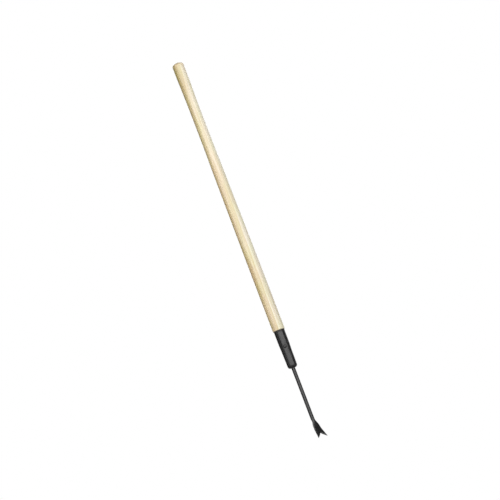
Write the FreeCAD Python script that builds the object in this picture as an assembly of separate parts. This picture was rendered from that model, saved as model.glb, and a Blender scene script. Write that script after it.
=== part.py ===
"""A long-handled stand-up dandelion weeder, in millimetres.

The tool stands on the two points of its fork: +Z runs up the shaft, the origin is on the shaft's
axis at the level of the points, the tines spread along X and the blade is cranked towards -Y.
It comes apart into four pieces: a turned ash handle, a drawn steel ferrule over the handle's
turned-down spigot, a fork forged from one round bar with its tang inside the handle, and one
solid rivet through ferrule, handle and tang.

Outlines are lists of corners. A corner is (point, setback), and the setback is how far before and
after the point its rounding starts.
"""

import FreeCAD, Part
import math
import os

from FreeCAD import Rotation, Vector

# Overall ------------------------------------------------------------------------------------
overall_length = 1067.0

# Ferrule: heights are above its nose ----------------------------------------------------------
ferrule_nose_z = 200.0
ferrule_length = 105.0
ferrule_mouth_radius = 14.55
ferrule_shoulder_height = 69.0
ferrule_waist_height = 45.0
ferrule_waist_radius = 13.65
ferrule_nose_radius = 13.0
ferrule_bend = 9.0
ferrule_nose_rounding = 6.6
ferrule_wall = 1.5
nose_lip_height = 3.6
nose_lip_rounding = 1.2
mouth_rounding = 0.6

# Handle -------------------------------------------------------------------------------------
belly_radius = 16.5
belly_top_z = 445.0
grip_radius = 14.9
grip_bottom_z = 772.0
neck_radius = 14.1
neck_bottom_z = 815.0
neck_top_z = 950.0
swell_radius = 15.6
taper_rounding = 45.0
grip_rounding = 20.0
flare_rounding = 30.0
end_band_length = 28.0
end_band_rounding = 8.0
end_dome_height = 9.0
end_edge_radius = 6.5
shoulder_gap = 0.25
shoulder_rounding = 1.6
spigot_end_height = 12.0
spigot_end_rounding = 1.5

# Bar, tang and rivet --------------------------------------------------------------------------
bar_radius = 5.0
tang_round_top_z = 285.0
tang_square_top_z = 332.0
tang_point_z = 340.0
tang_square_root = 7.8
tang_square_end = 5.0
tang_corner = 1.0
rivet_z = 259.0
rivet_shank_radius = 2.38
rivet_head_radius = 4.6
rivet_head_height = 1.9
rivet_tail_radius = 4.1
rivet_tail_height = 1.6
rivet_stock_depth = 2.0
rivet_turn_deg = 37.0
# How far inside the mouth's radius the heads sit, where the ferrule has begun to narrow.
rivet_seat_depth = 0.4

# Clearances, on the radius --------------------------------------------------------------------
spigot_fit = 0.05
tang_fit = 0.10
rivet_fit = 0.07

# Fork -----------------------------------------------------------------------------------------
# Level sections down the blade, each as (height, how far its middle stands forward of the shaft,
# half width, half depth, squareness). A squareness of 2 is an ellipse.
blade_sections = (
    (60.0, 0.0, bar_radius, bar_radius, 2.0),
    (57.0, 0.0, bar_radius, bar_radius, 2.0),
    (53.5, 0.45, 4.98, 4.70, 2.0),
    (50.0, 1.45, 5.35, 3.90, 2.05),
    (45.5, 2.65, 6.80, 2.85, 2.45),
    (41.0, 3.35, 8.75, 2.30, 2.9),
    (36.0, 4.10, 9.95, 2.00, 3.3),
    (30.0, 5.10, 10.60, 1.75, 3.6),
    (24.0, 6.45, 11.50, 1.55, 3.9),
    (12.0, 10.85, 13.30, 1.15, 4.2),
    (0.0, 15.20, 15.05, 0.50, 4.2),
)
section_points = 24
blade_loft_degree = 3
# The notch is a V whose flanks open a little wider below a knee.
notch_root_z = 12.7
notch_root_setback = 1.4
notch_knee_z = 7.6
notch_knee_half_width = 5.1
notch_knee_setback = 2.0
notch_tip_half_width = 14.8
# The notch's cutter reaches this far below the points, and is this thick in all.
notch_cutter_drop = 20.0
notch_cutter_depth = 80.0

axis_x = Vector(1, 0, 0)
axis_y = Vector(0, 1, 0)
axis_z = Vector(0, 0, 1)
origin = Vector(0, 0, 0)


def save(name, shape):
    """Writes one node, and stops the build if it isn't one sound solid."""
    if not shape.isValid() or len(shape.Solids) != 1:
        raise RuntimeError(name + " is not one valid solid")
    solid = shape.Solids[0]
    solid.exportStep(os.path.join("parts", name + ".step"))
    box = solid.optimalBoundingBox()
    size = "%.2f x %.2f x %.2f" % (box.XLength, box.YLength, box.ZLength)
    print("%-8s z %.2f to %.2f  %s mm  %.2f cm3" % (name, box.ZMin, box.ZMax, size, solid.Volume / 1000))


def line(start, end):
    return Part.LineSegment(start, end).toShape()


def outline(corners):
    """A closed wire through the corners, with a tangent arc at each one that has a setback."""
    entries = []
    exits = []
    bends = []
    for i, (point, setback) in enumerate(corners):
        before = (corners[i - 1][0] - point).normalize()
        after = (corners[(i + 1) % len(corners)][0] - point).normalize()
        entries.append(point + before * setback)
        exits.append(point + after * setback)
        if setback:
            bisector = (before + after).normalize()
            half = before.getAngle(bisector)
            reach = setback / math.cos(half) - setback * math.tan(half)
            bends.append(Part.Arc(entries[i], point + bisector * reach, exits[i]).toShape())
        else:
            bends.append(None)
    edges = []
    for i, bend in enumerate(bends):
        if bend:
            edges.append(bend)
        if exits[i].distanceToPoint(entries[(i + 1) % len(bends)]) > 1e-6:
            edges.append(line(exits[i], entries[(i + 1) % len(bends)]))
    return Part.Wire(edges)


def turned(wire):
    """A solid of revolution about the shaft, from a closed wire in the XZ plane."""
    return Part.Face(wire).revolve(origin, axis_z, 360)


def at(radius, z, setback=0.0):
    """A corner of a turned outline, or of the blade seen from the front."""
    return Vector(radius, 0, z), setback


# Ferrule ------------------------------------------------------------------------------------
def ferrule_side(inset):
    """The ferrule's side without its two ends, from the top down, moved in by inset."""
    return [
        at(ferrule_mouth_radius - inset, ferrule_nose_z + ferrule_shoulder_height, ferrule_bend),
        at(ferrule_waist_radius - inset, ferrule_nose_z + ferrule_waist_height, ferrule_bend),
    ]


def ferrule_blank():
    """The ferrule's outside as a solid, which the rivet's heads are seated on."""
    mouth_z = ferrule_nose_z + ferrule_length
    return turned(outline(
        [at(0, mouth_z), at(ferrule_mouth_radius, mouth_z, mouth_rounding)]
        + ferrule_side(0)
        + [at(ferrule_nose_radius, ferrule_nose_z, ferrule_nose_rounding), at(0, ferrule_nose_z)]
    ))


def make_ferrule():
    mouth_z = ferrule_nose_z + ferrule_length
    floor_z = ferrule_nose_z + ferrule_wall
    lip_z = ferrule_nose_z + nose_lip_height
    hole = bar_radius + tang_fit
    inside = turned(outline(
        [at(0, mouth_z), at(ferrule_mouth_radius - ferrule_wall, mouth_z)]
        + ferrule_side(ferrule_wall)
        + [
            at(ferrule_nose_radius - ferrule_wall, floor_z, ferrule_nose_rounding - ferrule_wall),
            at(hole + ferrule_wall, floor_z, nose_lip_rounding),
            at(hole + ferrule_wall, lip_z),
            at(0, lip_z),
        ]
    ))
    bore = turned(outline([
        at(0, lip_z),
        at(hole, lip_z),
        at(hole, ferrule_nose_z),
        at(0, ferrule_nose_z),
    ]))
    return ferrule_blank().cut([inside, bore, rivet_hole()])


# Handle -------------------------------------------------------------------------------------
def end_dome():
    """The rounded top end: a tight edge that runs into a flatter crown."""
    base = overall_length - end_dome_height
    across = swell_radius - end_edge_radius
    rise = end_dome_height - end_edge_radius
    crown_radius = (across ** 2 + end_dome_height ** 2 - end_edge_radius ** 2) / (2 * rise)
    crown = Vector(0, 0, overall_length - crown_radius)
    edge = Vector(across, 0, base)
    join_direction = (edge - crown).normalize()
    join = crown + join_direction * crown_radius
    edge_middle = edge + (join_direction + axis_x).normalize() * end_edge_radius
    crown_middle = crown + (join_direction + axis_z).normalize() * crown_radius
    top = Vector(0, 0, overall_length)
    return [
        Part.Arc(Vector(swell_radius, 0, base), edge_middle, join).toShape(),
        Part.Arc(join, crown_middle, top).toShape(),
    ]


def make_handle():
    shoulder_z = ferrule_nose_z + ferrule_length + shoulder_gap
    spigot_z = ferrule_nose_z + spigot_end_height
    inset = ferrule_wall + spigot_fit
    slope = (ferrule_waist_radius - ferrule_nose_radius) / ferrule_waist_height
    spigot_end_radius = ferrule_nose_radius + slope * spigot_end_height - inset
    dome_z = overall_length - end_dome_height
    stock = turned(outline([
        at(0, spigot_z),
        at(spigot_end_radius, spigot_z, spigot_end_rounding),
        *reversed(ferrule_side(inset)),
        at(ferrule_mouth_radius - inset, shoulder_z),
        at(belly_radius, shoulder_z, shoulder_rounding),
        at(belly_radius, belly_top_z, taper_rounding),
        at(grip_radius, grip_bottom_z, grip_rounding),
        at(neck_radius, neck_bottom_z, grip_rounding),
        at(neck_radius, neck_top_z, flare_rounding),
        at(swell_radius, dome_z - end_band_length, end_band_rounding),
        at(swell_radius, dome_z),
        at(0, dome_z),
    ]))
    dome = turned(Part.Wire(end_dome() + [
        line(Vector(0, 0, overall_length), Vector(0, 0, dome_z)),
        line(Vector(0, 0, dome_z), Vector(swell_radius, 0, dome_z)),
    ]))
    return stock.fuse(dome).cut([tang_bore(), rivet_hole()])


# Tang ---------------------------------------------------------------------------------------
def square_wire(side, z):
    """A square across the shaft with its corners cut off."""
    half = side / 2
    side_ends = (Vector(half, tang_corner - half, z), Vector(half, half - tang_corner, z))
    points = [Rotation(axis_z, 90 * turn).multVec(p) for turn in range(4) for p in side_ends]
    return Part.makePolygon(points + points[:1])


def tang_end(extra):
    """The top of the tang, where the bar is drawn down square and then to a blunt point."""
    root = square_wire(tang_square_root + 2 * extra, tang_round_top_z)
    end = square_wire(tang_square_end + 2 * extra, tang_square_top_z)
    point = square_wire(tang_square_end / 2 + 2 * extra, tang_point_z + extra)
    shank = Part.makeLoft([root, end], True, True)
    tip = Part.makeLoft([end, point], True, True)
    return shank.fuse(tip)


def tang_bore():
    """The hole up the handle: drilled round past the rivet, and burnt square above that."""
    height = tang_round_top_z + tang_fit - ferrule_nose_z
    drilled = Part.makeCylinder(bar_radius + tang_fit, height, Vector(0, 0, ferrule_nose_z))
    return drilled.fuse(tang_end(tang_fit))


# Rivet --------------------------------------------------------------------------------------
def across_shaft(shape):
    """Turns a shape made along X to the rivet's direction and lifts it to the rivet's height."""
    placed = shape.copy()
    placed.rotate(origin, axis_z, -90 - rivet_turn_deg)
    placed.translate(Vector(0, 0, rivet_z))
    return placed


def rod_across(radius, reach):
    """A rod along X that reaches equally far both ways."""
    return Part.makeCylinder(radius, 2 * reach, axis_x * -reach, axis_x)


def rivet_hole():
    return across_shaft(rod_across(rivet_shank_radius + rivet_fit, 2 * ferrule_mouth_radius))


def rivet_dome(radius, height, direction):
    """A low round head, with enough stock below it to meet the ferrule's curved side."""
    seat = ferrule_mouth_radius - rivet_seat_depth
    ball_radius = (radius ** 2 + height ** 2) / (2 * height)
    ball = Part.makeSphere(ball_radius, direction * (seat + height - ball_radius))
    foot = direction * (seat - rivet_stock_depth)
    stock = Part.makeCylinder(radius, rivet_stock_depth + height, foot, direction)
    return across_shaft(ball.common(stock))


def make_rivet():
    shank = across_shaft(rod_across(rivet_shank_radius, ferrule_mouth_radius))
    head = rivet_dome(rivet_head_radius, rivet_head_height, axis_x)
    tail = rivet_dome(rivet_tail_radius, rivet_tail_height, axis_x * -1)
    return head.cut(ferrule_blank()).fuse([shank, tail.cut(ferrule_blank())])


# Fork ---------------------------------------------------------------------------------------
def rounded_power(value, squareness):
    return math.copysign(abs(value) ** (2 / squareness), value)


def blade_section(height, forward, half_width, half_depth, squareness):
    """One level section of the blade, as a closed smooth curve."""
    points = []
    for i in range(section_points):
        angle = 2 * math.pi * (i + 0.5) / section_points
        x = half_width * rounded_power(math.cos(angle), squareness)
        y = half_depth * rounded_power(math.sin(angle), squareness) - forward
        points.append(Vector(x, y, height))
    curve = Part.BSplineCurve()
    curve.interpolate(Points=points, PeriodicFlag=True)
    return Part.Wire(curve.toShape())


def notch():
    """The V between the tines, as a prism along Y that runs well past both faces."""
    slope = (notch_tip_half_width - notch_knee_half_width) / notch_knee_z
    low_half_width = notch_tip_half_width + slope * notch_cutter_drop
    wire = outline([
        at(0, notch_root_z, notch_root_setback),
        at(notch_knee_half_width, notch_knee_z, notch_knee_setback),
        at(low_half_width, -notch_cutter_drop),
        at(-low_half_width, -notch_cutter_drop),
        at(-notch_knee_half_width, notch_knee_z, notch_knee_setback),
    ])
    wire.translate(axis_y * (-notch_cutter_depth / 2))
    return Part.Face(wire).extrude(axis_y * notch_cutter_depth)


def make_fork():
    blade_top_z = blade_sections[0][0]
    sections = [blade_section(*section) for section in blade_sections]
    blade = Part.makeLoft(sections, True, False, False, blade_loft_degree).cut(notch())
    bar = Part.Face(sections[0]).extrude(axis_z * (tang_round_top_z - blade_top_z))
    return bar.fuse([blade, tang_end(0)]).cut(rivet_hole())


os.makedirs("parts", exist_ok=True)
save("handle", make_handle())
save("ferrule", make_ferrule())
save("fork", make_fork())
save("rivet", make_rivet())
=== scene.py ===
"""Looks for the stand-up weeder: its turned handle, ferrule, forged fork and rivet, on a plain white floor.

Lengths are millimetres, as a toolmaker would give them, and become metres where a piece's mesh is made.
Texture coordinates are the object's own, also in millimetres. The camera, lamps and floor are in metres.
"""

import math

import bpy
from mathutils import Matrix, Vector, noise
from mathutils.geometry import intersect_point_line


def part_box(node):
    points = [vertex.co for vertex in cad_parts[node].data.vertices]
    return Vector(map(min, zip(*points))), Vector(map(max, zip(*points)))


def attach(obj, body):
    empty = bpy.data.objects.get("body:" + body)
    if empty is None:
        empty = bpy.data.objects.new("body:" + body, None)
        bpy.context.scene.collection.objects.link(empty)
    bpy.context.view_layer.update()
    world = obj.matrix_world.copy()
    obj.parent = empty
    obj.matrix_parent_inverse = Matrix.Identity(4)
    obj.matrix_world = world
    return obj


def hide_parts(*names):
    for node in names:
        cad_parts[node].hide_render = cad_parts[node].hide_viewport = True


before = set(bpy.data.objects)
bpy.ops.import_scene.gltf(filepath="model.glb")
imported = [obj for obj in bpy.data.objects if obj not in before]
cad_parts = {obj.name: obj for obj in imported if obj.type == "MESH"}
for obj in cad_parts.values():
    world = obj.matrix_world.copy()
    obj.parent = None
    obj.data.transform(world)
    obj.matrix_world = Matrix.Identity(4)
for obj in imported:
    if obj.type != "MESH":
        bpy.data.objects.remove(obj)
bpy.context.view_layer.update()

MM = 0.001

# Places read from the frame, in millimetres ---------------------------------------------------
handle_low, handle_high = (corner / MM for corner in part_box("handle"))
ferrule_low, ferrule_high = (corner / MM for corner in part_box("ferrule"))
fork_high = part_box("fork")[1] / MM
rivet_low, rivet_high = (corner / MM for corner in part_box("rivet"))

SPIGOT_Z = handle_low.z
TOP_Z = handle_high.z
BELLY_RADIUS = handle_high.x
NOSE_Z = ferrule_low.z
MOUTH_Z = ferrule_high.z
MOUTH_RADIUS = ferrule_high.x
TANG_TOP_Z = fork_high.z
RIVET_Z = (rivet_low.z + rivet_high.z) / 2

# Ferrule ------------------------------------------------------------------------------------
WALL = 1.5
SHOULDER_Z = NOSE_Z + 69
WAIST_Z = NOSE_Z + 45
WAIST_RADIUS = 13.65
NOSE_RADIUS = 13.0
NOSE_ROUNDING = 6.6
FERRULE_BEND = 9
LIP_HEIGHT = 3.6
LIP_ROUNDING = 1.2
MOUTH_ROUNDING = 0.6
MOUTH_INNER_ROUNDING = 0.3
FERRULE_SEGMENTS = 128
# The side is drawn in a little under each of the rivet's heads.
DIMPLE_DEPTH = 0.22
DIMPLE_RADIUS = 6.5

# Bar and tang ---------------------------------------------------------------------------------
BAR_RADIUS = 5.0
BAR_GAP = 0.1
TANG_ROUND_TOP_Z = 285.0
TANG_SQUARE_Z = 288.0
TANG_SQUARE_TOP_Z = 332.0
TANG_TIP_MIDDLE_Z = 336.0

# Handle -------------------------------------------------------------------------------------
BELLY_TOP_Z = 445
GRIP_RADIUS = 14.9
GRIP_Z = 772
NECK_RADIUS = 14.1
NECK_LOW_Z = 815
NECK_TOP_Z = 950
SWELL_RADIUS = 15.6
SWELL_BAND = 28
DOME_HEIGHT = 9.0
DOME_EDGE_RADIUS = 6.5
DOME_EDGE_WEAR = 0.25
HANDLE_SEGMENTS = 96
SHOULDER_GAP = 0.25
SHOULDER_ROUNDING = 1.6
SPIGOT_FIT = 0.05
SPIGOT_ROUNDING = 1.5
BORE_END_RADIUS = 3.6
BORE_END_GAP = 1
TAPER_ROUNDING = 45
GRIP_ROUNDING = 20
FLARE_ROUNDING = 30
SWELL_ROUNDING = 8

# Fork ---------------------------------------------------------------------------------------
# Level sections: (height, how far forward, half width, half depth, squareness).
BLADE_TOP_Z = 60.0
BLADE_SECTIONS = (
    (BLADE_TOP_Z, 0.0, BAR_RADIUS, BAR_RADIUS, 2.0),
    (57.0, 0.0, BAR_RADIUS, BAR_RADIUS, 2.0),
    (53.5, 0.45, 4.98, 4.70, 2.0),
    (50.0, 1.45, 5.35, 3.90, 2.05),
    (45.5, 2.65, 6.80, 2.85, 2.45),
    (41.0, 3.35, 8.75, 2.30, 2.9),
    (36.0, 4.10, 9.95, 2.00, 3.3),
    (30.0, 5.10, 10.60, 1.75, 3.6),
    (24.0, 6.45, 11.50, 1.55, 3.9),
    (12.0, 10.85, 13.30, 1.15, 4.2),
    (0.0, 15.20, 15.05, 0.50, 4.2),
)
TANG_SECTIONS = (
    (TANG_ROUND_TOP_Z, 0.0, BAR_RADIUS, BAR_RADIUS, 2.0),
    (TANG_SQUARE_Z, 0.0, 3.9, 3.9, 6.0),
    (TANG_SQUARE_TOP_Z, 0.0, 2.5, 2.5, 6.0),
    (TANG_TOP_Z, 0.0, 1.25, 1.25, 6.0),
)
# Points along a quarter of a level section, and how near the middle a point is taken to be on it.
FORK_STEPS = 24
ON_MIDDLE = 0.001
NOTCH_ROOT_Z = 12.7
NOTCH_KNEE_Z = 7.6
NOTCH_KNEE_HALF_WIDTH = 5.1
NOTCH_TIP_HALF_WIDTH = 14.8
NOTCH_ROOT_RADIUS = 0.7
NOTCH_KNEE_ROUNDING = 0.6
# The bevel ground along the notch: its width, and the share of the half thickness left at its edge.
NOTCH_BEVEL = 2.6
NOTCH_EDGE = 0.35
# The blade's edges are worn below the first height and carry hammer marks below the second. Both come in
# gradually, over the fades.
WORN_BELOW_Z = 52
WORN_FADE = 8
HAMMERED_BELOW_Z = 62
HAMMERED_FADE = 10
HAMMERED_POINT_FADE = 4
# Depth of the hammer marks, and how many of them there are to a millimetre.
BROAD_MARKS = (0.14, 0.16)
FINE_MARKS = (0.05, 0.4)

# Rivet --------------------------------------------------------------------------------------
RIVET_TURN_DEG = 37.0
RIVET_SHANK_RADIUS = 2.38
RIVET_SEAT = MOUTH_RADIUS - 0.4
RIVET_STOCK = 2.0
# The domes are worn where they stand further out from their seats than this.
RIVET_WORN_FROM = 0.6
# Radius and height of each end's dome.
RIVET_HEAD = (4.6, 1.9)
RIVET_TAIL = (4.1, 1.6)
RIVET_SEGMENTS = 64

# How uneven each turned form is, as waves of (depth, rate of change round it, length along it, seed), and
# how far its side is moved in so that the waves stay inside its CAD node.
HANDLE_WAVES = ((0.10, 0.8, 130, 3), (0.03, 3, 40, 11))
HANDLE_INSET = 0.08
FERRULE_WAVES = ((0.05, 1.2, 45, 21),)
FERRULE_INSET = 0.05
TAIL_WAVES = ((0.16, 1.6, 2.0, 7),)

# Colours --------------------------------------------------------------------------------------
SAPWOOD = ((0.88, 0.86, 0.675), (0.90, 0.84, 0.725))
HEARTWOOD = ((0.82, 0.695, 0.37), (0.855, 0.665, 0.405))
END_GRAIN = (0.66, 0.46, 0.25)
FRESH_CUT = (0.88, 0.80, 0.60)
PORE = (0.42, 0.29, 0.16)
AGED_TINT = (0.71, 0.725, 0.60)
EARLY_WOOD_TINT = (0.90, 0.82, 0.66)
STREAK_TINT = (0.90, 0.86, 0.76)
FIBRE_TINT = (0.84, 0.75, 0.60)
# The tan side of the wood, as a direction across the stick, and the pith, which lies outside it. The tan side
# is set towards the main view's left, so the tan heartwood also paints the shade on that side and leaves the
# side the lamps light paler.
HEARTWOOD_AND_SHADE_SIDE = (-0.80, 0.60, 0.0)
PITH = (38, 26, 0)

PAINT_DARK = 0.0095
PAINT_LIGHT = 0.0150
PAINT_BLUE = 1.03
SCUFFED_PAINT = (0.045, 0.044, 0.043)
DRAW_LINE = (0.040, 0.040, 0.040)
# Grime at the ferrule's mouth, dark enough to also paint the shade under the wood's overhanging shoulder.
GRIME_AND_SHADE = (0.016, 0.011, 0.008)
BARE_STEEL = (0.30, 0.29, 0.275)

# View ---------------------------------------------------------------------------------------
VIEW_AZIMUTH_DEG = -37.0
VIEW_ELEVATION_DEG = -8.5
VIEW_ROLL_DEG = 20.87
LENS_MM = 500.0
SENSOR_MM = 36.0
VIEW_WIDTH = 1.3124
AIM_Z = 0.53195
AIM_RIGHT = 0.0043
VIEW_DEPTH = 100

# Soft lamps: (name, degrees round from the view, elevation, distance, width, height, watts, whether
# gloss shows it). Those that gloss doesn't show only lighten the shaded sides.
LAMPS = (
    ("front", 8, 20, 3.0, 7.0, 3.0, 175, True),
    ("left", -76, 15, 3.5, 2.4, 2.6, 6, True),
    ("right", 140, 22, 4.0, 3.0, 3.0, 24, True),
    ("back", 180, 22, 4.0, 3.0, 3.0, 60, True),
    ("right_fill", 140, 22, 4.0, 3.0, 3.0, 50, False),
    ("left_fill", -150, 22, 4.0, 3.0, 3.0, 40, False),
)
FLOOR_RADIUS = 60.0
FLOOR_SIDES = 96
FLOOR_WHITE = (0.3, 0.3, 0.3)
# The floor's own glow rises from the first strength to the second between these distances.
GLOW = (0.84, 1.0)
GLOW_DISTANCES_MM = (600, 4000)


# Meshes -------------------------------------------------------------------------------------
def clamped(value):
    return min(1.0, max(0.0, value))


def rounded(corners, arc_steps=8, longest=4.0):
    """Points along an outline. A corner is (radius, height, setback), and the setback is how far before
    and after the corner its tangent arc starts. Each point comes with how sharply the outline turns there,
    from 0 on a straight run to 1 on a tight edge."""
    points = []

    def straight(start, end):
        steps = max(1, math.ceil((end - start).length / longest))
        points.extend((start.lerp(end, i / steps), 0.0) for i in range(1, steps))

    last_exit = None
    for i, (radius, height, setback) in enumerate(corners):
        corner = Vector((radius, height))
        inner = 0 < i < len(corners) - 1
        if not inner or not setback:
            if last_exit is not None:
                straight(last_exit, corner)
            points.append((corner, float(inner)))
            last_exit = corner
            continue
        before = (Vector(corners[i - 1][:2]) - corner).normalized()
        after = (Vector(corners[i + 1][:2]) - corner).normalized()
        entry = corner + before * setback
        straight(last_exit, entry)
        half = before.angle(after) / 2
        bisector = (before + after).normalized()
        arc_radius = setback * math.tan(half)
        centre = corner + bisector * (setback / math.cos(half))
        sweep = math.pi - 2 * half
        start = entry - centre
        turn = 1 if before.x * after.y - before.y * after.x < 0 else -1
        sharp = min(1.0, 1.5 / arc_radius)
        for step in range(arc_steps + 1):
            spin = Matrix.Rotation(turn * sweep * step / arc_steps, 2)
            points.append((centre + spin @ start, sharp * math.sin(math.pi * step / arc_steps)))
        last_exit = corner + after * setback
    return points


def new_piece(name, vertices, faces, wear, material, smooth_angle_deg=35):
    """A mesh object from millimetre vertices, with its edge wear stored on the vertices."""
    mesh = bpy.data.meshes.new(name)
    mesh.from_pydata([Vector(v) * MM for v in vertices], [], faces)
    attribute = mesh.attributes.new("wear", "FLOAT", "POINT")
    attribute.data.foreach_set("value", wear)
    mesh.materials.append(material)
    mesh.shade_smooth()
    mesh.set_sharp_from_angle(angle=math.radians(smooth_angle_deg))
    piece = bpy.data.objects.new(name, mesh)
    bpy.context.scene.collection.objects.link(piece)
    return piece


def turned(profile, segments, off_true):
    """Vertices, faces and wear of a form turned about Z from a profile of points and their sharpness.
    A point on the axis is one vertex. off_true gives how far the surface stands off its true radius."""
    vertices = []
    wear = []
    rings = []
    for (radius, height), sharp in profile:
        count = 1 if radius < 1e-6 else segments
        rings.append(range(len(vertices), len(vertices) + count))
        for i in range(count):
            angle = math.tau * i / segments
            reach = radius + (off_true(angle, height) if count > 1 else 0)
            vertices.append((reach * math.cos(angle), reach * math.sin(angle), height))
            wear.append(sharp)
    faces = []
    for lower, upper in zip(rings, rings[1:]):
        for i in range(segments):
            j = (i + 1) % segments
            quad = (
                lower[i % len(lower)],
                lower[j % len(lower)],
                upper[j % len(upper)],
                upper[i % len(upper)],
            )
            faces.append(tuple(dict.fromkeys(quad)))
    return vertices, faces, wear


def unevenness(waves, angle, height):
    """How far a hand-worked form stands off its true radius, smooth along it and closed round it."""
    total = 0.0
    for depth, rate, length, seed in waves:
        around = Vector((math.cos(angle), math.sin(angle), 0)) * rate
        total += depth * noise.noise(around + Vector((0, 0, height / length + seed)))
    return total


# Handle -------------------------------------------------------------------------------------
def dome(radius, top, height, edge_radius, steps=10):
    """The domed end: a tight edge that runs into a flatter crown."""
    base = top - height
    across = radius - edge_radius
    crown_radius = (across ** 2 + height ** 2 - edge_radius ** 2) / (2 * (height - edge_radius))
    crown_z = top - crown_radius
    join = math.atan2(base - crown_z, across)
    points = []

    def arc(centre_x, centre_z, arc_radius, start, end, sharp):
        for i in range(1, steps + 1):
            angle = start + (end - start) * i / steps
            x = centre_x + arc_radius * math.cos(angle)
            z = centre_z + arc_radius * math.sin(angle)
            points.append((Vector((x, z)), sharp))

    arc(across, base, edge_radius, 0, join, DOME_EDGE_WEAR)
    arc(0, crown_z, crown_radius, join, math.pi / 2, 0.0)
    points[-1][0].x = 0.0
    return points


def make_handle(material):
    inset = WALL + SPIGOT_FIT
    bore = BAR_RADIUS + BAR_GAP
    slope = (WAIST_RADIUS - NOSE_RADIUS) / (WAIST_Z - NOSE_Z)
    spigot_radius = NOSE_RADIUS + slope * (SPIGOT_Z - NOSE_Z) - inset
    shoulder_z = MOUTH_Z + SHOULDER_GAP
    dome_z = TOP_Z - DOME_HEIGHT
    profile = rounded([
        (0.0, TANG_TOP_Z + BORE_END_GAP, 0),
        (BORE_END_RADIUS, TANG_SQUARE_TOP_Z, 0),
        (bore, TANG_ROUND_TOP_Z, 0),
        (bore, SPIGOT_Z, 0),
        (spigot_radius, SPIGOT_Z, SPIGOT_ROUNDING),
        (WAIST_RADIUS - inset, WAIST_Z, FERRULE_BEND),
        (MOUTH_RADIUS - inset, SHOULDER_Z, FERRULE_BEND),
        (MOUTH_RADIUS - inset, shoulder_z, 0),
        (BELLY_RADIUS, shoulder_z, SHOULDER_ROUNDING),
        (BELLY_RADIUS, BELLY_TOP_Z, TAPER_ROUNDING),
        (GRIP_RADIUS, GRIP_Z, GRIP_ROUNDING),
        (NECK_RADIUS, NECK_LOW_Z, GRIP_ROUNDING),
        (NECK_RADIUS, NECK_TOP_Z, FLARE_ROUNDING),
        (SWELL_RADIUS, dome_z - SWELL_BAND, SWELL_ROUNDING),
        (SWELL_RADIUS, dome_z, 0),
    ])
    profile += dome(SWELL_RADIUS, TOP_Z, DOME_HEIGHT, DOME_EDGE_RADIUS)

    def off_true(angle, height):
        if height < shoulder_z + SHOULDER_GAP:
            return 0.0
        return unevenness(HANDLE_WAVES, angle, height) - HANDLE_INSET

    return new_piece("ash_handle", *turned(profile, HANDLE_SEGMENTS, off_true), material)


# Ferrule ------------------------------------------------------------------------------------
def make_ferrule(material):
    hole = BAR_RADIUS + BAR_GAP
    floor_z = NOSE_Z + WALL
    lip_z = NOSE_Z + LIP_HEIGHT
    profile = rounded([
        (hole, lip_z, 0),
        (hole, NOSE_Z, LIP_ROUNDING),
        (NOSE_RADIUS, NOSE_Z, NOSE_ROUNDING),
        (WAIST_RADIUS, WAIST_Z, FERRULE_BEND),
        (MOUTH_RADIUS, SHOULDER_Z, FERRULE_BEND),
        (MOUTH_RADIUS, MOUTH_Z, MOUTH_ROUNDING),
        (MOUTH_RADIUS - WALL, MOUTH_Z, MOUTH_INNER_ROUNDING),
        (MOUTH_RADIUS - WALL, SHOULDER_Z, FERRULE_BEND),
        (WAIST_RADIUS - WALL, WAIST_Z, FERRULE_BEND),
        (NOSE_RADIUS - WALL, floor_z, NOSE_ROUNDING - WALL),
        (hole + WALL, floor_z, LIP_ROUNDING),
        (hole + WALL, lip_z, 0),
        (hole, lip_z, 0),
    ], arc_steps=10, longest=2.5)
    # The outline ends where it began, so its last point is the first one again.
    profile = profile[:-1]
    head_side = math.radians(-90 - RIVET_TURN_DEG)

    def off_true(angle, height):
        reach = unevenness(FERRULE_WAVES, angle, height) - FERRULE_INSET
        for side in (head_side, head_side + math.pi):
            across = MOUTH_RADIUS * math.remainder(angle - side, math.tau)
            distance = math.hypot(across, height - RIVET_Z)
            reach -= DIMPLE_DEPTH * math.exp(-(distance / DIMPLE_RADIUS) ** 2)
        return reach

    vertices, faces, wear = turned(profile, FERRULE_SEGMENTS, off_true)
    last_ring = len(vertices) - FERRULE_SEGMENTS
    for i in range(FERRULE_SEGMENTS):
        j = (i + 1) % FERRULE_SEGMENTS
        faces.append((last_ring + i, last_ring + j, j, i))
    return new_piece("steel_ferrule", vertices, faces, wear, material)


# Fork ---------------------------------------------------------------------------------------
def section_at(sections, height):
    """One level section, by a smooth curve through the listed ones."""
    rows = sorted(sections)
    i = max(0, min(len(rows) - 2, sum(height >= row[0] for row in rows) - 1))
    low, high = rows[i], rows[i + 1]
    before = rows[max(0, i - 1)]
    after = rows[min(len(rows) - 1, i + 2)]
    span = high[0] - low[0]
    t = (height - low[0]) / span
    values = []
    for column in range(1, 5):
        slope_low = (high[column] - before[column]) / (high[0] - before[0]) * span
        slope_high = (after[column] - low[column]) / (after[0] - low[0]) * span
        values.append(
            (2 * t ** 3 - 3 * t ** 2 + 1) * low[column]
            + (t ** 3 - 2 * t ** 2 + t) * slope_low
            + (3 * t ** 2 - 2 * t ** 3) * high[column]
            + (t ** 3 - t ** 2) * slope_high
        )
    return values


def fork_section_at(height):
    if height < BLADE_TOP_Z:
        return section_at(BLADE_SECTIONS, height)
    return section_at(TANG_SECTIONS, max(height, TANG_ROUND_TOP_Z))


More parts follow.
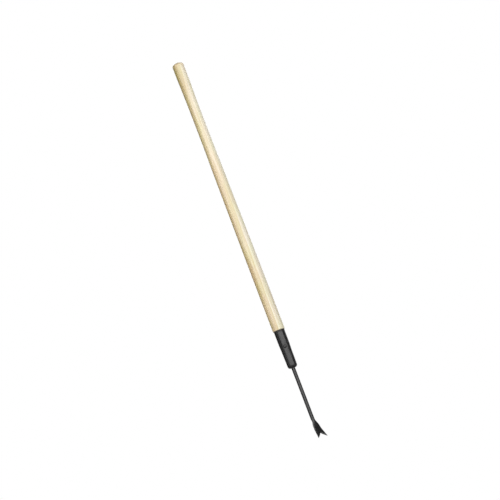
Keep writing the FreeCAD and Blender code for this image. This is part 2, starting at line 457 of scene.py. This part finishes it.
def notch_half_width(height):
    """Half the gap between the tines at a height: 0 above the notch, and below it a V with a rounded root,
    whose flanks flare out below a knee towards the points."""
    depth = NOTCH_ROOT_Z - height
    if depth <= 0:
        return 0.0
    upper = NOTCH_KNEE_HALF_WIDTH / (NOTCH_ROOT_Z - NOTCH_KNEE_Z)
    lower = (NOTCH_TIP_HALF_WIDTH - NOTCH_KNEE_HALF_WIDTH) / NOTCH_KNEE_Z
    past_knee = NOTCH_KNEE_Z - height
    flared = (past_knee + math.hypot(past_knee, NOTCH_KNEE_ROUNDING)) / 2
    at_points = (NOTCH_KNEE_Z + math.hypot(NOTCH_KNEE_Z, NOTCH_KNEE_ROUNDING)) / 2
    root_run = math.sqrt(depth * (depth + 2 * NOTCH_ROOT_RADIUS)) - NOTCH_ROOT_RADIUS * depth / NOTCH_ROOT_Z
    return upper * root_run + (lower - upper) * NOTCH_KNEE_Z * flared / at_points


def from_notch(place):
    """How far a place on the blade, seen from the front, is from the notch's outline."""
    outline = [Vector(corner) for corner in (
        (0, NOTCH_ROOT_Z),
        (NOTCH_KNEE_HALF_WIDTH, NOTCH_KNEE_Z),
        (NOTCH_TIP_HALF_WIDTH, 0),
    )]
    distances = []
    for start, end in zip(outline, outline[1:]):
        share = intersect_point_line(place, start, end)[1]
        nearest = start.lerp(end, clamped(share))
        distances.append((place - nearest).length)
    return min(distances)


def spread(start, end, steps):
    """Evenly spaced levels from start to end, both included."""
    return [start + (end - start) * i / steps for i in range(steps + 1)]


def fork_heights():
    """The levels of the fork's sections from the points up: 0.7 mm apart on the blade, and closer than that
    at the notch's root, where the bevel turns."""
    near_root = [NOTCH_ROOT_Z + rise for rise in (-2.0, -1.5, -1.0, -0.55, -0.25, -0.08, 0.0, 0.4, 0.8)]
    blade = spread(0.0, 9.8, 14) + near_root + spread(14.0, 58.8, 64)
    bar = spread(BLADE_TOP_Z, TANG_ROUND_TOP_Z, 80)
    tang = spread(TANG_SQUARE_Z, TANG_SQUARE_TOP_Z, 12) + [TANG_TIP_MIDDLE_Z, TANG_TOP_Z]
    rounding = (TANG_ROUND_TOP_Z + TANG_SQUARE_Z) / 2
    return blade + bar + [rounding] + tang


def fork_point(side, step, height, section):
    """A point of one side of a level section, and its wear. Step 0 is the middle of the front face, or the
    notch's front edge, FORK_STEPS is the outer edge and 2 * FORK_STEPS is the middle of the back."""
    forward, half_width, half_depth, squareness = section
    gap = notch_half_width(height)
    x = gap + (half_width - gap) * math.sin(math.pi * step / (2 * FORK_STEPS))
    edge = max(0.0, 1 - (x / half_width) ** squareness) ** (1 / squareness)
    on_rim = gap and step in (0, 2 * FORK_STEPS)
    distance = 0.0 if on_rim else from_notch(Vector((x, height)))
    bevel = min(1.0, NOTCH_EDGE + (1 - NOTCH_EDGE) * distance / NOTCH_BEVEL)
    reach = half_depth * edge
    if step <= FORK_STEPS:
        reach *= -(2 * bevel - 1)
    if x < ON_MIDDLE:
        x = 0.0
    worn = max(1 - 2.2 * edge, 1.2 * (1 - bevel)) * clamped((WORN_BELOW_Z - height) / WORN_FADE)
    return Vector((side * x, reach - forward, height)), clamped(worn)


def hammer_mark(place):
    """How far the hammer left the blade proud there. The marks fade out at the points and on the bar."""
    if place.z >= HAMMERED_BELOW_Z:
        return 0.0
    depth, rate = BROAD_MARKS
    mark = depth * noise.noise(place * rate + Vector((5, 0, 0)))
    depth, rate = FINE_MARKS
    mark += depth * noise.noise(place * rate)
    on_bar = min(1.0, (HAMMERED_BELOW_Z - place.z) / HAMMERED_FADE)
    at_points = min(1.0, place.z / HAMMERED_POINT_FADE)
    return mark * on_bar * at_points


def make_fork(material):
    """Two mirrored sides, which share their middle points above the notch and are closed off below it."""
    vertices = []
    wear = []
    index = {}
    heights = fork_heights()
    back = 2 * FORK_STEPS
    for row, height in enumerate(heights):
        section = fork_section_at(height)
        for side in (1, -1):
            for step in range(back + 1):
                place, worn = fork_point(side, step, height, section)
                key = (row, side if place.x else 0, step)
                if key not in index:
                    index[key] = len(vertices)
                    place.y += hammer_mark(place)
                    vertices.append(place)
                    wear.append(worn)
                index[(row, side, step)] = index[key]

    faces = []

    def add_face(corners, side):
        ring = list(dict.fromkeys(corners))
        if len(ring) > 2:
            faces.append(tuple(ring if side > 0 else reversed(ring)))

    top = len(heights) - 1
    for row in range(top):
        loop = [(step, step + 1) for step in range(back)]
        if heights[row] < NOTCH_ROOT_Z:
            loop.append((back, 0))
        for side in (1, -1):
            for a, b in loop:
                corners = ((row, a), (row, b), (row + 1, b), (row + 1, a))
                add_face([index[(level, side, step)] for level, step in corners], side)
    for side in (1, -1):
        add_face([index[(0, side, step)] for step in range(back + 1)], -side)
    around_top = [(1, step) for step in range(back + 1)] + [(-1, step) for step in range(back - 1, 0, -1)]
    add_face([index[(top, side, step)] for side, step in around_top], 1)
    return new_piece("forged_fork", vertices, faces, wear, material, smooth_angle_deg=40)


# Rivet --------------------------------------------------------------------------------------
def rivet_dome(radius, height, steps=10):
    """Radius and reach of points from a dome's crown down to its rim."""
    ball = (radius ** 2 + height ** 2) / (2 * height)
    limit = math.asin(radius / ball)
    points = []
    for i in range(steps + 1):
        angle = limit * i / steps
        points.append((ball * math.sin(angle), RIVET_SEAT + height - ball * (1 - math.cos(angle))))
    return points


def make_rivet(material):
    """Both heads and the shank as one turned form, laid across the shaft."""
    under_head = RIVET_SEAT - RIVET_STOCK
    outline = [(radius, -reach) for radius, reach in rivet_dome(*RIVET_TAIL)]
    outline += [(RIVET_TAIL[0], -under_head), (RIVET_SHANK_RADIUS, -under_head)]
    outline += [(RIVET_SHANK_RADIUS, under_head), (RIVET_HEAD[0], under_head)]
    outline += reversed(rivet_dome(*RIVET_HEAD))
    profile = [(Vector(point), 0.0) for point in outline]

    def peened(angle, height):
        return 0.0 if height > 0 else unevenness(TAIL_WAVES, angle, height)

    vertices, faces, _ = turned(profile, RIVET_SEGMENTS, peened)
    towards = math.radians(RIVET_TURN_DEG)
    axis = Vector((-math.sin(towards), -math.cos(towards), 0))
    turn = Vector((0, 0, 1)).rotation_difference(axis).to_matrix()
    placed = [turn @ Vector(v) + Vector((0, 0, RIVET_Z)) for v in vertices]
    crown_wear = [clamped(abs(v[2]) - RIVET_SEAT - RIVET_WORN_FROM) for v in vertices]
    return new_piece("steel_rivet", placed, faces, crown_wear, material)


# Materials ------------------------------------------------------------------------------------
class Shader:
    """Builds one material. Each method adds a node and returns the socket to use next."""

    def __init__(self, name):
        self.material = bpy.data.materials.new(name)
        self.material.use_nodes = True
        self.tree = self.material.node_tree
        self.tree.nodes.clear()
        self.millimetres = self.scaled(self.add("ShaderNodeTexCoord").outputs["Object"], (1 / MM,) * 3)

    def add(self, kind, inputs=None, **settings):
        node = self.tree.nodes.new(kind)
        for name, value in settings.items():
            setattr(node, name, value)
        for key, value in (inputs or {}).items():
            if isinstance(value, bpy.types.NodeSocket):
                self.tree.links.new(value, node.inputs[key])
            else:
                node.inputs[key].default_value = value
        return node

    def scaled(self, vector, scale):
        return self.add("ShaderNodeVectorMath", {0: vector, 1: scale}, operation="MULTIPLY").outputs[0]

    def shifted(self, vector, offset):
        return self.add("ShaderNodeVectorMath", {0: vector, 1: offset}, operation="ADD").outputs[0]

    def drawn_out(self, vector, squeeze):
        """Coordinates in which a pattern comes out 1 / squeeze times longer up the tool than across it."""
        return self.scaled(vector, (1, 1, squeeze))

    def height(self):
        return self.add("ShaderNodeSeparateXYZ", {"Vector": self.millimetres}).outputs["Z"]

    def length(self, vector):
        return self.add("ShaderNodeVectorMath", {0: vector}, operation="LENGTH").outputs["Value"]

    def along(self, vector, way):
        """How far a vector reaches in a direction."""
        return self.add("ShaderNodeVectorMath", {0: vector, 1: way}, operation="DOT_PRODUCT").outputs["Value"]

    def maths(self, operation, a, b=0.0, clamp=False):
        return self.add("ShaderNodeMath", {0: a, 1: b}, operation=operation, use_clamp=clamp).outputs[0]

    def plus(self, a, b, clamp=False):
        return self.maths("ADD", a, b, clamp)

    def times(self, a, b, clamp=False):
        return self.maths("MULTIPLY", a, b, clamp)

    def noise(self, vector, scale, detail=2.0, roughness=0.5, output="Fac"):
        inputs = {"Vector": vector, "Scale": scale, "Detail": detail, "Roughness": roughness}
        return self.add("ShaderNodeTexNoise", inputs).outputs[output]

    def spots(self, vector, scale):
        return self.add("ShaderNodeTexVoronoi", {"Vector": vector, "Scale": scale}).outputs["Distance"]

    def wear(self):
        return self.add("ShaderNodeAttribute", attribute_name="wear").outputs["Fac"]

    def between(self, value, low, high, to_low=0.0, to_high=1.0):
        inputs = {"Value": value, "From Min": low, "From Max": high, "To Min": to_low, "To Max": to_high}
        return self.add("ShaderNodeMapRange", inputs, clamp=True).outputs["Result"]

    def blend(self, factor, a, b, blend_type="MIX"):
        """Mixes two colours. Each is a socket or three numbers."""
        node = self.add("ShaderNodeMix", {0: factor}, data_type="RGBA", blend_type=blend_type)
        for socket, value in ((node.inputs[6], a), (node.inputs[7], b)):
            if isinstance(value, bpy.types.NodeSocket):
                self.tree.links.new(value, socket)
            else:
                socket.default_value = (*value, 1)
        return node.outputs[2]

    def tinted(self, factor, colour, tint):
        return self.blend(factor, colour, tint, "MULTIPLY")

    def ramp(self, factor, stops):
        node = self.add("ShaderNodeValToRGB", {"Fac": factor})
        elements = node.color_ramp.elements
        while len(elements) < len(stops):
            elements.new(0.5)
        for element, (position, value) in zip(elements, stops):
            element.position = position
            element.color = (value, value, value, 1)
        return node.outputs["Color"]

    def bump(self, height, distance, strength=1.0, normal=None):
        inputs = {"Height": height, "Distance": distance * MM, "Strength": strength}
        if normal is not None:
            inputs["Normal"] = normal
        return self.add("ShaderNodeBump", inputs).outputs["Normal"]

    def finish(self, **inputs):
        """The shader itself, from its inputs by name, with underscores for spaces."""
        named = {key.replace("_", " "): value for key, value in inputs.items()}
        surface = self.add("ShaderNodeBsdfPrincipled", named)
        self.add("ShaderNodeOutputMaterial", {"Surface": surface.outputs[0]})
        return self.material


def growth_rings(s, height, wandering):
    """How coarse the wood is, from 1 in a year's early wood to near 0 in its late wood."""
    from_pith = s.length(s.scaled(s.shifted(wandering, [-middle for middle in PITH]), (1, 1, 0)))
    lean = s.times(height, 0.006)
    wobble = s.times(s.noise(s.drawn_out(s.millimetres, 0.12), scale=0.05), 3.2)
    year_width = 3.1
    year = s.maths("FRACT", s.maths("DIVIDE", s.plus(s.plus(from_pith, lean), wobble), year_width))
    return s.ramp(year, [(0.0, 0.75), (0.06, 1.0), (0.26, 0.30), (0.60, 0.05), (0.94, 0.12), (1.0, 0.75)])


def ash_wood():
    """Clear-lacquered ash: growth rings that the turning cuts into streaks and arches, pores in the coarse
    early wood, fine fibre, tan heartwood down one side, and slow changes of tone along the stick. The tan
    side faces the main view's left, so it also paints shade there and leaves the lit side pale."""
    s = Shader("lacquered_ash")
    drift = s.noise(s.scaled(s.millimetres, (0, 0, 1)), scale=0.006, detail=1.0, output="Color")
    wandering = s.shifted(s.millimetres, s.scaled(s.shifted(drift, (-0.5, -0.5, -0.5)), (9, 9, 0)))
    height = s.height()
    early = growth_rings(s, height, wandering)
    fibres = s.noise(s.drawn_out(s.millimetres, 0.018), scale=1.3, detail=3.0, roughness=0.6)
    streaks = s.noise(s.drawn_out(wandering, 0.018), scale=0.26, detail=1.5)
    tone = s.noise(s.drawn_out(s.millimetres, 0.22), scale=0.035)
    hue = s.noise(s.drawn_out(s.shifted(s.millimetres, (300, 0, 0)), 0.30), scale=0.06, detail=1.0)
    pore_field = s.noise(s.drawn_out(s.millimetres, 0.05), scale=2.6, detail=1.0)
    pores = s.times(s.between(pore_field, 0.60, 0.70), s.between(early, 0.25, 0.8))
    # Painted shade: the heartwood mask runs across the main view from left to right, so its tan darkens the
    # side the lamps leave in shade, and the pale wood lies on the lit side.
    heart_and_shade = s.between(s.plus(s.along(wandering, HEARTWOOD_AND_SHADE_SIDE), s.times(tone, 14)), -1, 22)
    warm = s.between(hue, 0.38, 0.62)
    # The aged tint follows the same mask, near the top.
    aged = s.times(heart_and_shade, s.between(height, TOP_Z - 320, TOP_Z - 40))

    wood = s.blend(heart_and_shade, s.blend(warm, *SAPWOOD), s.blend(warm, *HEARTWOOD))
    wood = s.tinted(aged, wood, AGED_TINT)
    wood = s.tinted(s.times(early, 0.62), wood, EARLY_WOOD_TINT)
    wood = s.tinted(s.between(streaks, 0.40, 0.60), wood, STREAK_TINT)
    wood = s.tinted(s.between(fibres, 0.42, 0.72, 0.0, 0.40), wood, FIBRE_TINT)
    wood = s.blend(s.times(pores, 0.55), wood, PORE)
    wood = s.blend(s.between(height, TOP_Z - 16, TOP_Z - 2, 0.0, 0.5), wood, END_GRAIN)
    wood = s.blend(s.times(s.wear(), 0.7), wood, FRESH_CUT)

    roughness = s.between(s.plus(tone, s.times(early, 0.25)), 0.3, 0.9, 0.34, 0.52)
    normal = s.bump(fibres, distance=0.004, strength=0.5)
    normal = s.bump(s.times(pores, -1.0), distance=0.006, strength=0.6, normal=normal)
    return s.finish(
        Base_Color=wood, Roughness=roughness, Normal=normal, Coat_Weight=0.25, Coat_Roughness=0.22
    )


def black_paint(name, roughness, grain, worn, drawn=0.0, black=1.0, grime_and_shade_z=None):
    """Satin black paint on steel: orange peel, dust nibs, rubbed patches, and steel showing at worn edges.
    grain is the depth of the metal's own unevenness under the paint, in millimetres, worn is how bare the
    worn edges are, and drawn is how strongly the draw lines of a tube show along it. black scales the paint's
    own colour, and the last argument is the height of an upper edge below which the paint is darkened and
    dulled: partly grime, and partly painted shade standing for the shadow that the wood's overhang casts into
    the ferrule's mouth."""
    s = Shader(name)
    broad = s.noise(s.millimetres, scale=0.045, detail=3.0, roughness=0.6)
    peel = s.noise(s.millimetres, scale=0.75)
    metal = s.noise(s.drawn_out(s.millimetres, 0.5), scale=0.28, detail=3.0, roughness=0.55)
    nibs = s.between(s.spots(s.millimetres, scale=0.22), 0.0, 0.07, 1.0, 0.0)
    scuff_field = s.noise(s.drawn_out(s.millimetres, 0.10), scale=0.9, detail=4.0, roughness=0.7)
    scuffs = s.times(s.between(scuff_field, 0.62, 0.74), s.between(broad, 0.42, 0.62))
    lines = s.noise(s.drawn_out(s.millimetres, 0.025), scale=0.55, roughness=0.6)
    bare = s.times(s.times(s.wear(), s.between(metal, 0.40, 0.62), clamp=True), worn)

    dark = PAINT_DARK * black
    light = PAINT_LIGHT * black
    paint = s.blend(broad, (dark, dark, PAINT_BLUE * dark), (light, light, PAINT_BLUE * light))
    paint = s.blend(s.times(scuffs, 0.5), paint, SCUFFED_PAINT)
    paint = s.blend(bare, paint, BARE_STEEL)
    paint = s.blend(s.between(lines, 0.55, 0.70, 0.0, drawn), paint, DRAW_LINE)
    dull = s.between(broad, 0.30, 0.70, roughness - 0.05, roughness + 0.09)
    dull = s.plus(dull, s.times(s.maths("SUBTRACT", lines, 0.5), drawn))
    dull = s.plus(dull, s.times(scuffs, 0.12), clamp=True)
    # Painted shade: below the upper edge the paint is darkened and dulled, partly as grime and partly to
    # stand for the shadow under the wood's overhang at the ferrule's mouth.
    if grime_and_shade_z is not None:
        ragged = s.plus(s.height(), s.times(s.maths("SUBTRACT", metal, 0.5), 3.0))
        grime_and_shade = s.between(ragged, grime_and_shade_z - 5.5, grime_and_shade_z - 2.0)
        paint = s.blend(s.times(grime_and_shade, 0.8), paint, GRIME_AND_SHADE)
        dull = s.plus(dull, s.times(grime_and_shade, 0.38), clamp=True)
    normal = s.bump(metal, distance=grain)
    normal = s.bump(peel, distance=0.008, normal=normal)
    normal = s.bump(nibs, distance=0.03, strength=0.6, normal=normal)
    return s.finish(Base_Color=paint, Roughness=dull, Metallic=bare, Normal=normal, IOR=1.6)


# Stage --------------------------------------------------------------------------------------
def direction(azimuth_deg, elevation_deg):
    """From the middle of the tool out to a viewer or a lamp. Azimuth 0 is in front, at -Y."""
    a = math.radians(azimuth_deg)
    e = math.radians(elevation_deg)
    return Vector((math.sin(a) * math.cos(e), -math.cos(a) * math.cos(e), math.sin(e)))


def make_camera():
    back = direction(VIEW_AZIMUTH_DEG, VIEW_ELEVATION_DEG)
    across = Vector((-back.y, back.x, 0)).normalized()
    above = back.cross(across)
    roll = math.radians(VIEW_ROLL_DEG)
    right = across * math.cos(roll) - above * math.sin(roll)
    up = across * math.sin(roll) + above * math.cos(roll)
    camera = bpy.data.objects.new("camera", bpy.data.cameras.new("camera"))
    camera.data.lens = LENS_MM
    camera.data.sensor_width = SENSOR_MM
    camera.data.clip_end = VIEW_DEPTH
    place = Vector((0, 0, AIM_Z)) + across * AIM_RIGHT + back * (VIEW_WIDTH * LENS_MM / SENSOR_MM)
    camera.matrix_world = Matrix.Translation(place) @ Matrix((right, up, back)).transposed().to_4x4()
    bpy.context.scene.collection.objects.link(camera)
    bpy.context.scene.camera = camera


def make_lamp(name, round_deg, elevation_deg, distance, width, height, power, in_gloss):
    """A soft lamp that faces the middle of the tool."""
    lamp = bpy.data.lights.new(name, "AREA")
    lamp.shape = "RECTANGLE"
    lamp.size = width
    lamp.size_y = height
    lamp.energy = power
    holder = bpy.data.objects.new(name, lamp)
    out = direction(VIEW_AZIMUTH_DEG + round_deg, elevation_deg)
    holder.location = Vector((0, 0, AIM_Z)) + out * distance
    holder.rotation_mode = "QUATERNION"
    holder.rotation_quaternion = out.to_track_quat("Z", "Y")
    holder.visible_camera = False
    holder.visible_glossy = in_gloss
    bpy.context.scene.collection.objects.link(holder)


def make_floor():
    """A wide white disc with a glow that keeps it white far from the lamps. It shows from above only,
    because the main view looks up past it from below the tool's points."""
    mesh = bpy.data.meshes.new("floor")
    angles = [math.tau * i / FLOOR_SIDES for i in range(FLOOR_SIDES)]
    rim = [(FLOOR_RADIUS * math.cos(a), FLOOR_RADIUS * math.sin(a), 0) for a in angles]
    mesh.from_pydata(rim, [], [tuple(range(FLOOR_SIDES))])
    s = Shader("white_floor")
    glow_there = s.between(s.length(s.millimetres), *GLOW_DISTANCES_MM, *GLOW)
    strength = s.times(s.add("ShaderNodeLightPath").outputs["Is Camera Ray"], glow_there)
    glow = s.add("ShaderNodeEmission", {"Color": (1, 1, 1, 1), "Strength": strength})
    card = s.add("ShaderNodeBsdfDiffuse", {"Color": (*FLOOR_WHITE, 1)})
    top = s.add("ShaderNodeAddShader", {0: glow.outputs[0], 1: card.outputs[0]})
    below = s.add("ShaderNodeBsdfTransparent")
    behind = s.add("ShaderNodeNewGeometry").outputs["Backfacing"]
    seen = s.add("ShaderNodeMixShader", {0: behind, 1: top.outputs[0], 2: below.outputs[0]})
    s.add("ShaderNodeOutputMaterial", {"Surface": seen.outputs[0]})
    s.material.cycles.emission_sampling = "NONE"
    mesh.materials.append(s.material)
    floor = bpy.data.objects.new("floor", mesh)
    bpy.context.scene.collection.objects.link(floor)


def make_world():
    """White all round, for the camera alone."""
    world = bpy.data.worlds.new("white_room")
    world.use_nodes = True
    background = world.node_tree.nodes["Background"]
    background.inputs["Color"].default_value = (1, 1, 1, 1)
    background.inputs["Strength"].default_value = 1.0
    world.cycles.sampling_method = "NONE"
    world.cycles_visibility.glossy = False
    world.cycles_visibility.diffuse = False
    bpy.context.scene.world = world


def make_pieces():
    satin = black_paint(
        "satin_black_ferrule", roughness=0.35, grain=0.04, worn=0.10, drawn=0.7, black=1.1, grime_and_shade_z=MOUTH_Z
    )
    forged = black_paint("satin_black_forging", roughness=0.33, grain=0.05, worn=0.08, black=0.8)
    headed = black_paint("satin_black_rivet", roughness=0.38, grain=0.03, worn=0.12)
    pieces = {
        "handle": make_handle(ash_wood()),
        "ferrule": make_ferrule(satin),
        "fork": make_fork(forged),
        "rivet": make_rivet(headed),
    }
    for node, piece in pieces.items():
        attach(piece, "root")
        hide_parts(node)


make_pieces()
make_camera()
make_floor()
make_world()
for lamp_facts in LAMPS:
    make_lamp(*lamp_facts)
bpy.context.scene.view_settings.view_transform = "Standard"
